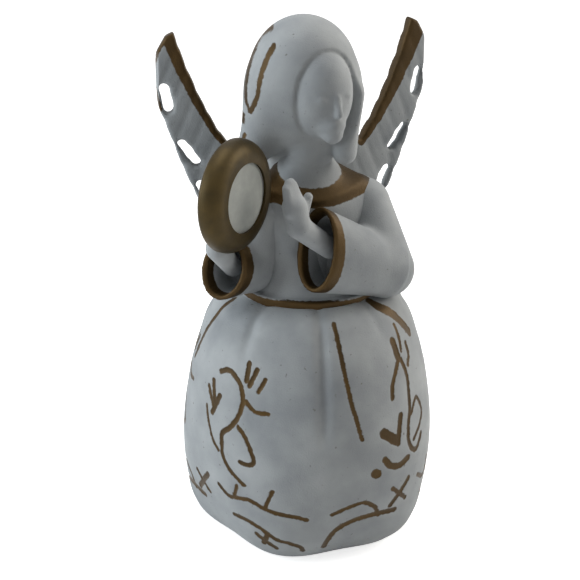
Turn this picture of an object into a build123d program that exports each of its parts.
from build123d import *

import os
from math import asin, cos, degrees, radians, sin

# A cast-resin angel figurine with a tambourine, in millimetres.
#
# The figure faces -Y, +Z is up, +X is the figure's own left hand, and the origin is the centre of
# the felt pad's underside.  Every casting is a solid of its own.  Castings meet face to face and
# are held by glued pins in bored sockets.  Heights above the waist are given as rises from it.

os.makedirs("parts", exist_ok=True)

# ---------------------------------------------------------------- skirt
FELT_THICKNESS = 0.8
HEM_RADIUS = 24.6
HEM_CURL = 2.4
SKIRT_RADIUS = 32.7
SKIRT_WIDEST_Z = 27.0
WAIST_RADIUS = 18.0
WAIST_Z = 66.0
HEM_LOBES = 5
HEM_LOBE_DEPTH = 0.055
HEM_VALLEY_ANGLE = -86.0
SKIRT_WALL = 4.5
SKIRT_ROOF = 9.0

# ---------------------------------------------------------------- base plug and felt
PLUG_RADIUS = 15.0
PLUG_THICKNESS = 3.0
PLUG_LEDGE = 2.0
PLUG_CLEARANCE = 0.15
FELT_INSET = 2.2

# ---------------------------------------------------------------- pins
PIN_CLEARANCE = 0.05
WAIST_PIN_RADIUS = 4.0
WAIST_PIN_LENGTH = 15.0
NECK_PIN_RADIUS = 2.5
NECK_PIN_LENGTH = 16.0
ARM_PIN_RADIUS = 1.2
ARM_PIN_LENGTH = 9.0
WING_PIN_RADIUS = 1.0
WING_PIN_LENGTH = 9.0
WRIST_PIN_RADIUS = 1.0
WRIST_PIN_LENGTH = 8.0

# ---------------------------------------------------------------- torso
TORSO_HALF_WIDTH = 15.5
TORSO_HALF_DEPTH = 11.5
MIDRIFF_HALF_WIDTH = 14.0
MIDRIFF_HALF_DEPTH = 12.0
WAIST_HALF_DEPTH = 16.0
NECK_RADIUS = 7.2
MIDRIFF_RISE = 11.0
SHOULDER_RISE = 22.5
NECK_RISE = 31.0

# ---------------------------------------------------------------- head
HEAD_RADIUS = 13.3
HEAD_HALF_HEIGHT = 17.0
HEAD_CENTRE_X = -1.5
HEAD_ABOVE_NECK = 4.0
HAIR_LOCK_RADIUS = 9.5
HAIR_LOCK_SPREAD = 4.8
HAIR_HALF_HEIGHT = 14.0
HAIR_CENTRE = Vector(-3.6, 3.0, 38.0)
FACE_TURN = 16.0
FACE_RADIUS = 8.2
FACE_HALF_HEIGHT = 12.0
FACE_FORWARD = 7.5
FACE_RISE = 50.5

# ---------------------------------------------------------------- arms
SHOULDER_X = 13.5
SHOULDER_Y = -3.0
SHOULDER_BALL_RISE = 21.0
SHOULDER_RADIUS = 6.8
LEFT_ELBOW = Vector(17.4, -9.5, 5.6)
LEFT_ELBOW_RADIUS = 7.4
LEFT_MOUTH = Vector(-3.6, -18.2, 15.6)
LEFT_MOUTH_FACING = Vector(-0.78, -0.60, 0.18)
LEFT_MOUTH_HALF_WIDTH = 5.6
LEFT_MOUTH_HALF_HEIGHT = 10.4
RIGHT_ELBOW = Vector(-15.5, -4.0, 7.5)
RIGHT_ELBOW_RADIUS = 6.2
RIGHT_MOUTH = Vector(-24.6, -9.2, 9.8)
RIGHT_MOUTH_FACING = Vector(-0.62, -0.74, 0.26)
RIGHT_MOUTH_HALF_WIDTH = 5.6
RIGHT_MOUTH_HALF_HEIGHT = 7.8
CUFF_WALL = 1.5
ELBOW_TUCK = 0.7
CUFF_DEPTH = 6.0
CUFF_FLOOR_HALF_WIDTH = 2.4
WRIST_TAPER = 0.3

# ---------------------------------------------------------------- hands
LEFT_HEEL = Vector(-8.8, -20.0, 23.4)
LEFT_FINGERTIP = Vector(-11.0, -20.3, 33.3)
LEFT_HEEL_RADIUS = 3.3
RIGHT_HEEL = Vector(-27.0, -13.4, 17.6)
RIGHT_FINGERTIP = Vector(-27.8, -14.4, 24.0)
RIGHT_HEEL_RADIUS = 3.1
WRIST_RADIUS = 2.5
FINGER_RADIUS = 2.2

# ---------------------------------------------------------------- wings
WING_THICKNESS = 3.6
WING_ROOT_X = 3.5
WING_ROOT_Y = 8.5
WING_SWEEP = 12.0
WING_PIN_RISE = 19.0
WING_PIN_START = 1.5

# ---------------------------------------------------------------- tambourine
DRUM_RADIUS = 13.7
DRUM_DEPTH = 5.6
DRUM_RIM = 5.3
DRUM_FRONT_ROUND = 3.8
DRUM_BACK_ROUND = 1.2
SKIN_THICKNESS = 1.0
SKIN_SETBACK = 0.6
DRUM_CENTRE = Vector(-22.8, -17.6, 31.0)
DRUM_TURN = 44.0


def above_waist(point):
    """A point whose Z is a rise from the waist, as a point in the part's own frame."""
    return Vector(point.X, point.Y, WAIST_Z + point.Z)


def between(low, high, share):
    return low + (high - low) * share


def egg(centre, radius, half_height):
    """A solid of revolution with an oval section, upright about its centre."""
    with BuildPart() as solid_egg:
        with BuildSketch(Plane(origin=centre, x_dir=(1, 0, 0), z_dir=(0, -1, 0))):
            with BuildLine():
                rim = EllipticalCenterArc((0, 0), radius, half_height, -90, arc_size=180)
                Line(rim @ 1, rim @ 0)
            make_face()
        revolve(axis=Axis(centre, (0, 0, 1)))
    return solid_egg.part


def plane_facing(origin, facing):
    """A plane whose normal is facing and whose local Y runs up as nearly as it can."""
    normal = facing.normalized()
    return Plane(origin=origin, x_dir=Vector(0, 0, 1).cross(normal), z_dir=normal)


def on_circle(centre_x, radius, angle):
    return (centre_x + radius * cos(radians(angle)), radius * sin(radians(angle)))


def limb(start, start_radius, end, end_radius):
    """A round limb with domed ends, turned as one profile about its own line."""
    along = end - start
    length = along.length
    shoulder = 90.0 - degrees(asin((start_radius - end_radius) / length))
    across = along.cross(Vector(0, 0, 1)) if abs(along.normalized().Z) < 0.99 else Vector(0, 1, 0)
    with BuildPart() as turned:
        with BuildSketch(Plane(origin=start, x_dir=along, z_dir=across)):
            with BuildLine():
                near = ThreePointArc(
                    on_circle(0, start_radius, 180),
                    on_circle(0, start_radius, (180 + shoulder) / 2),
                    on_circle(0, start_radius, shoulder),
                )
                far = ThreePointArc(
                    on_circle(length, end_radius, shoulder),
                    on_circle(length, end_radius, shoulder / 2),
                    on_circle(length, end_radius, 0),
                )
                Line(near @ 1, far @ 0)
                Line(far @ 1, near @ 0)
            make_face()
        revolve(axis=Axis(start, along))
    return turned.part


def rod(start, direction, radius, length):
    """A plain round rod from start along direction."""
    with BuildPart() as bar:
        with BuildSketch(Plane(origin=start, z_dir=direction)):
            Circle(radius)
        extrude(amount=length)
    return bar.part


# ---------------------------------------------------------------- places
SHOULDER_LEFT = above_waist(Vector(SHOULDER_X, SHOULDER_Y, SHOULDER_BALL_RISE))
SHOULDER_RIGHT = above_waist(Vector(-SHOULDER_X, SHOULDER_Y, SHOULDER_BALL_RISE))
NECK_Z = WAIST_Z + NECK_RISE
HEAD_CENTRE = Vector(HEAD_CENTRE_X, 0, NECK_Z + HEAD_ABOVE_NECK + HEAD_HALF_HEIGHT)
FACE_CENTRE = Vector(
    HEAD_CENTRE_X + FACE_FORWARD * sin(radians(FACE_TURN)),
    -FACE_FORWARD * cos(radians(FACE_TURN)),
    WAIST_Z + FACE_RISE,
)
DRUM_FACING = Vector(sin(radians(DRUM_TURN)), -cos(radians(DRUM_TURN)), 0)
DRUM_BACK = above_waist(DRUM_CENTRE) - DRUM_FACING * (DRUM_DEPTH / 2)
SKIN_BACK = DRUM_BACK + DRUM_FACING * (DRUM_DEPTH - SKIN_SETBACK - SKIN_THICKNESS)

# Each ring of the bell: its height, its radius and how much of the hem's lobes it keeps.
BELL = [
    (FELT_THICKNESS, HEM_RADIUS, 1.0),
    (FELT_THICKNESS + 2.2, HEM_RADIUS + HEM_CURL, 1.0),
    (between(FELT_THICKNESS, SKIRT_WIDEST_Z, 0.25), between(HEM_RADIUS, SKIRT_RADIUS, 0.62), 0.75),
    (between(FELT_THICKNESS, SKIRT_WIDEST_Z, 0.52), between(HEM_RADIUS, SKIRT_RADIUS, 0.85), 0.45),
    (SKIRT_WIDEST_Z, SKIRT_RADIUS, 0.18),
    (between(SKIRT_WIDEST_Z, WAIST_Z, 0.31), between(WAIST_RADIUS, SKIRT_RADIUS, 0.90), 0.06),
    (between(SKIRT_WIDEST_Z, WAIST_Z, 0.62), between(WAIST_RADIUS, SKIRT_RADIUS, 0.73), 0.0),
    (between(SKIRT_WIDEST_Z, WAIST_Z, 0.85), between(WAIST_RADIUS, SKIRT_RADIUS, 0.49), 0.0),
    (WAIST_Z, WAIST_RADIUS, 0.0),
]


def lobed_outline(radius, share):
    """Points round one ring of the skirt, a circle with soft lobes."""
    steps = HEM_LOBES * 6
    points = []
    for step in range(steps):
        angle = radians(360.0 * step / steps)
        wave = cos(HEM_LOBES * (angle - radians(HEM_VALLEY_ANGLE)))
        reach = radius * (1.0 - HEM_LOBE_DEPTH * share * wave)
        points.append((reach * cos(angle), reach * sin(angle)))
    return points


# ---------------------------------------------------------------- base
with BuildPart() as felt_pad:
    with BuildSketch(Plane.XY):
        Circle(HEM_RADIUS * (1.0 - HEM_LOBE_DEPTH) - FELT_INSET)
    extrude(amount=FELT_THICKNESS)

with BuildPart() as base_plug:
    with BuildSketch(Plane.XY.offset(FELT_THICKNESS)):
        Circle(PLUG_RADIUS - PLUG_CLEARANCE)
    extrude(amount=PLUG_THICKNESS)

# ---------------------------------------------------------------- dowels up the middle
WAIST_PIN_BOTTOM = WAIST_Z - WAIST_PIN_LENGTH / 2
NECK_PIN_BOTTOM = Vector(HEAD_CENTRE_X, 0, NECK_Z - NECK_PIN_LENGTH / 2)

with BuildPart() as waist_dowel:
    add(rod(Vector(0, 0, WAIST_PIN_BOTTOM), Vector(0, 0, 1), WAIST_PIN_RADIUS, WAIST_PIN_LENGTH))

with BuildPart() as neck_dowel:
    add(rod(NECK_PIN_BOTTOM, Vector(0, 0, 1), NECK_PIN_RADIUS, NECK_PIN_LENGTH))

waist_bore = rod(
    Vector(0, 0, WAIST_PIN_BOTTOM), Vector(0, 0, 1), WAIST_PIN_RADIUS + PIN_CLEARANCE, WAIST_PIN_LENGTH
)
neck_bore = rod(NECK_PIN_BOTTOM, Vector(0, 0, 1), NECK_PIN_RADIUS + PIN_CLEARANCE, NECK_PIN_LENGTH)

# ---------------------------------------------------------------- skirt, hollow from below
CAVITY_TOP = WAIST_Z - SKIRT_ROOF
CAVITY_RADIUS = SKIRT_RADIUS - SKIRT_WALL - 2.0
THROAT_RADIUS = PLUG_RADIUS - PLUG_LEDGE
LEDGE_Z = FELT_THICKNESS + PLUG_THICKNESS

with BuildPart() as skirt:
    for height, radius, share in BELL:
        with BuildSketch(Plane.XY.offset(height)):
            with BuildLine():
                Spline(*lobed_outline(radius, share), periodic=True)
            make_face()
    loft()
    with BuildSketch(Plane.XZ):
        with BuildLine():
            Polyline(
                (0, LEDGE_Z),
                (THROAT_RADIUS, LEDGE_Z),
                (THROAT_RADIUS, LEDGE_Z + PLUG_LEDGE),
                (CAVITY_RADIUS, SKIRT_WIDEST_Z),
                (WAIST_RADIUS - SKIRT_WALL, CAVITY_TOP),
                (0, CAVITY_TOP),
                close=True,
            )
        make_face()
    revolve(axis=Axis.Z, mode=Mode.SUBTRACT)
    with BuildSketch(Plane.XY.offset(FELT_THICKNESS)):
        Circle(PLUG_RADIUS)
    extrude(amount=PLUG_THICKNESS, mode=Mode.SUBTRACT)
    add(waist_bore, mode=Mode.SUBTRACT)

# ---------------------------------------------------------------- wing shapes
# Outlines in a wing's own plane: X outward from its root, Y the rise above the waist.
WING_TIP = (27.7, 64.0)
WING_OUTER = [(32.6, 58.0), (33.1, 51.5), (31.5, 45.0), (29.0, 38.0), (23.2, 22.0), (14.4, 5.5)]
WING_HEM = (2.0, 8.0)
WING_INNER_FOOT = (3.0, 33.0)
WING_BAND_FOOT = (13.3, 33.5)
WING_INNER = (21.3, 47.0)
WING_HOLES = [
    ((28.2, 46.0), 6.4, 2.8, 80.0),
    ((24.2, 33.0), 8.0, 2.8, 55.0),
    ((20.4, 22.5), 5.6, 3.2, 60.0),
]


def wing_plane(side):
    """The wing's own plane: X runs outward and back, Y straight up."""
    swept_x = cos(radians(WING_SWEEP))
    swept_y = sin(radians(WING_SWEEP))
    return Plane(
        origin=Vector(side * WING_ROOT_X, WING_ROOT_Y, WAIST_Z),
        x_dir=Vector(side * swept_x, swept_y, 0),
        z_dir=Vector(swept_y, -side * swept_x, 0),
    )


def wing_slab(side):
    with BuildPart() as slab:
        with BuildSketch(wing_plane(side)):
            with BuildLine():
                outer = Spline(WING_TIP, *WING_OUTER)
                hem = Line(outer @ 1, WING_HEM)
                root = Line(hem @ 1, WING_INNER_FOOT)
                foot = Line(root @ 1, WING_BAND_FOOT)
                Spline(foot @ 1, WING_INNER, WING_TIP)
            make_face()
            for centre, length, width, lean in WING_HOLES:
                with Locations(Location((centre[0], centre[1], 0), (0, 0, lean))):
                    SlotOverall(length, width, mode=Mode.SUBTRACT)
        extrude(amount=WING_THICKNESS / 2, both=True)
    return slab.part


def wing_pin(side, radius):
    plane = wing_plane(side)
    start = plane.from_local_coords(Vector(WING_PIN_START, WING_PIN_RISE, 0))
    return rod(start, plane.x_dir, radius, WING_PIN_LENGTH)


def arm_pin(side, radius):
    shoulder = SHOULDER_LEFT if side > 0 else SHOULDER_RIGHT
    start = shoulder - Vector(side * ARM_PIN_LENGTH / 2, 0, 0)
    return rod(start, Vector(side, 0, 0), radius, ARM_PIN_LENGTH)


# ---------------------------------------------------------------- torso
TORSO_RINGS = [
    (0.0, WAIST_RADIUS - 0.6, WAIST_HALF_DEPTH),
    (MIDRIFF_RISE, MIDRIFF_HALF_WIDTH, MIDRIFF_HALF_DEPTH),
    (SHOULDER_RISE, TORSO_HALF_WIDTH, TORSO_HALF_DEPTH),
    (NECK_RISE, NECK_RADIUS, NECK_RADIUS),
]

with BuildPart() as torso:
    for rise, half_width, half_depth in TORSO_RINGS:
        with BuildSketch(Plane.XY.offset(WAIST_Z + rise)):
            Ellipse(half_width, half_depth)
    loft()
    torso_blank = torso.part
    add(waist_bore, mode=Mode.SUBTRACT)
    add(neck_bore, mode=Mode.SUBTRACT)
    for side in (1, -1):
        add(arm_pin(side, ARM_PIN_RADIUS + PIN_CLEARANCE), mode=Mode.SUBTRACT)
        add(wing_pin(side, WING_PIN_RADIUS + PIN_CLEARANCE), mode=Mode.SUBTRACT)

# ---------------------------------------------------------------- head, hair and neck in one casting
skull = egg(HEAD_CENTRE, HEAD_RADIUS, HEAD_HALF_HEIGHT)
face = egg(FACE_CENTRE, FACE_RADIUS, FACE_HALF_HEIGHT)
hair_locks = [
    egg(above_waist(HAIR_CENTRE + Vector(shift, 0, 0)), HAIR_LOCK_RADIUS, HAIR_HALF_HEIGHT)
    for shift in (-HAIR_LOCK_SPREAD, HAIR_LOCK_SPREAD)
]

with BuildPart() as head:
    add(skull)
    add(face)
    for lock in hair_locks:
        add(lock)
    add(torso_blank, mode=Mode.SUBTRACT)
    add(neck_bore, mode=Mode.SUBTRACT)

# ---------------------------------------------------------------- tambourine
DRUM_HOLE = DRUM_RADIUS - DRUM_RIM
BACK_ROUND_X = DRUM_RADIUS - DRUM_BACK_ROUND
FRONT_ROUND_X = DRUM_RADIUS - DRUM_FRONT_ROUND
FRONT_ROUND_Y = DRUM_DEPTH - DRUM_FRONT_ROUND
DIAGONAL = cos(radians(45))

# The rim is turned about the drum's axis: local X is the radius and local Y the depth.
with BuildPart() as tambourine_frame:
    rim_plane = Plane(
        origin=DRUM_BACK, x_dir=(0, 0, 1), z_dir=Vector(0, 0, 1).cross(DRUM_FACING)
    )
    with BuildSketch(rim_plane):
        with BuildLine():
            back = Line((DRUM_HOLE, 0), (BACK_ROUND_X, 0))
            heel = ThreePointArc(
                back @ 1,
                (BACK_ROUND_X + DRUM_BACK_ROUND * DIAGONAL, DRUM_BACK_ROUND * (1 - DIAGONAL)),
                (DRUM_RADIUS, DRUM_BACK_ROUND),
            )
            side_wall = Line(heel @ 1, (DRUM_RADIUS, FRONT_ROUND_Y))
            brow = ThreePointArc(
                side_wall @ 1,
                (FRONT_ROUND_X + DRUM_FRONT_ROUND * DIAGONAL, FRONT_ROUND_Y + DRUM_FRONT_ROUND * DIAGONAL),
                (FRONT_ROUND_X, DRUM_DEPTH),
            )
            front = Line(brow @ 1, (DRUM_HOLE, DRUM_DEPTH))
            Line(front @ 1, back @ 0)
        make_face()
    revolve(axis=Axis(DRUM_BACK, DRUM_FACING))

with BuildPart() as tambourine_skin:
    with BuildSketch(plane_facing(SKIN_BACK, DRUM_FACING)):
        Circle(DRUM_HOLE)
    extrude(amount=SKIN_THICKNESS)


# ---------------------------------------------------------------- sleeves
def forearm(elbow, elbow_radius, mouth, facing, half_width, half_height):
    """The bell of a sleeve: it opens from the elbow to an upright oval mouth."""
    with BuildPart() as bell:
        with BuildSketch(plane_facing(elbow, mouth - elbow)):
            Circle(elbow_radius - ELBOW_TUCK)
        with BuildSketch(plane_facing(mouth, facing)):
            Ellipse(half_width, half_height)
        loft()
    return bell.part


def cuff_hollow(mouth, facing, half_width, half_height):
    """The hollow inside a cuff, from its mouth back to a small oval floor."""
    floor_height = CUFF_FLOOR_HALF_WIDTH * half_height / half_width
    with BuildPart() as hollow:
        with BuildSketch(plane_facing(mouth - facing.normalized() * CUFF_DEPTH, facing)):
            Ellipse(CUFF_FLOOR_HALF_WIDTH, floor_height)
        with BuildSketch(plane_facing(mouth + facing.normalized() * CUFF_WALL, facing)):
            Ellipse(half_width - CUFF_WALL, half_height - CUFF_WALL)
        loft()
    return hollow.part


def wrist_start(mouth, facing):
    return mouth - facing.normalized() * CUFF_DEPTH


def wrist_pin(mouth, facing, heel, radius):
    start = wrist_start(mouth, facing)
    direction = (heel - start).normalized()
    return rod(start - direction * (WRIST_PIN_LENGTH / 2), direction, radius, WRIST_PIN_LENGTH)


ARMS = {
    "left": (
        1,
        SHOULDER_LEFT,
        above_waist(LEFT_ELBOW),
        LEFT_ELBOW_RADIUS,
        above_waist(LEFT_MOUTH),
        LEFT_MOUTH_FACING,
        LEFT_MOUTH_HALF_WIDTH,
        LEFT_MOUTH_HALF_HEIGHT,
        above_waist(LEFT_HEEL),
        LEFT_HEEL_RADIUS,
        above_waist(LEFT_FINGERTIP),
    ),
    "right": (
        -1,
        SHOULDER_RIGHT,
        above_waist(RIGHT_ELBOW),
        RIGHT_ELBOW_RADIUS,
        above_waist(RIGHT_MOUTH),
        RIGHT_MOUTH_FACING,
        RIGHT_MOUTH_HALF_WIDTH,
        RIGHT_MOUTH_HALF_HEIGHT,
        above_waist(RIGHT_HEEL),
        RIGHT_HEEL_RADIUS,
        above_waist(RIGHT_FINGERTIP),
    ),
}

finished = [
    ("felt_pad", felt_pad),
    ("base_plug", base_plug),
    ("skirt", skirt),
    ("waist_dowel", waist_dowel),
    ("torso", torso),
    ("neck_dowel", neck_dowel),
    ("head", head),
    ("tambourine_frame", tambourine_frame),
    ("tambourine_skin", tambourine_skin),
]

for name, arm in ARMS.items():
    side, shoulder, elbow, elbow_radius = arm[:4]
    mouth, facing, mouth_width, mouth_height = arm[4:8]
    heel, heel_radius, fingertip = arm[8:]
    with BuildPart() as sleeve:
        add(limb(shoulder, SHOULDER_RADIUS, elbow, elbow_radius))
        add(forearm(elbow, elbow_radius, mouth, facing, mouth_width, mouth_height))
        add(cuff_hollow(mouth, facing, mouth_width, mouth_height), mode=Mode.SUBTRACT)
        add(torso_blank, mode=Mode.SUBTRACT)
        add(skirt.part, mode=Mode.SUBTRACT)
        add(head.part, mode=Mode.SUBTRACT)
        add(tambourine_frame.part, mode=Mode.SUBTRACT)
        sleeve_blank = sleeve.part
        add(arm_pin(side, ARM_PIN_RADIUS + PIN_CLEARANCE), mode=Mode.SUBTRACT)
        add(wrist_pin(mouth, facing, heel, WRIST_PIN_RADIUS + PIN_CLEARANCE), mode=Mode.SUBTRACT)
    with BuildPart() as hand_cast:
        add(limb(heel, heel_radius, fingertip, FINGER_RADIUS))
        add(limb(wrist_start(mouth, facing), WRIST_RADIUS, heel, WRIST_RADIUS - WRIST_TAPER))
        add(sleeve_blank, mode=Mode.SUBTRACT)
        add(tambourine_frame.part, mode=Mode.SUBTRACT)
        add(tambourine_skin.part, mode=Mode.SUBTRACT)
        add(wrist_pin(mouth, facing, heel, WRIST_PIN_RADIUS + PIN_CLEARANCE), mode=Mode.SUBTRACT)
    with BuildPart() as arm_pin_piece:
        add(arm_pin(side, ARM_PIN_RADIUS))
    with BuildPart() as wrist_pin_piece:
        add(wrist_pin(mouth, facing, heel, WRIST_PIN_RADIUS))
    finished.append((f"sleeve_{name}", sleeve))
    finished.append((f"hand_{name}", hand_cast))
    finished.append((f"arm_pin_{name}", arm_pin_piece))
    finished.append((f"wrist_pin_{name}", wrist_pin_piece))

# ---------------------------------------------------------------- wings
for name, side in (("left", 1), ("right", -1)):
    with BuildPart() as wing:
        add(wing_slab(side))
        add(torso_blank, mode=Mode.SUBTRACT)
        add(head.part, mode=Mode.SUBTRACT)
        add(wing_pin(side, WING_PIN_RADIUS + PIN_CLEARANCE), mode=Mode.SUBTRACT)
    with BuildPart() as wing_pin_piece:
        add(wing_pin(side, WING_PIN_RADIUS))
    finished.append((f"wing_{name}", wing))
    finished.append((f"wing_pin_{name}", wing_pin_piece))

# ---------------------------------------------------------------- export
for name, piece in finished:
    piece.part.label = name
    export_step(piece.part, f"parts/{name}.step")
    print(name, len(piece.part.solids()), round(piece.part.volume, 2))
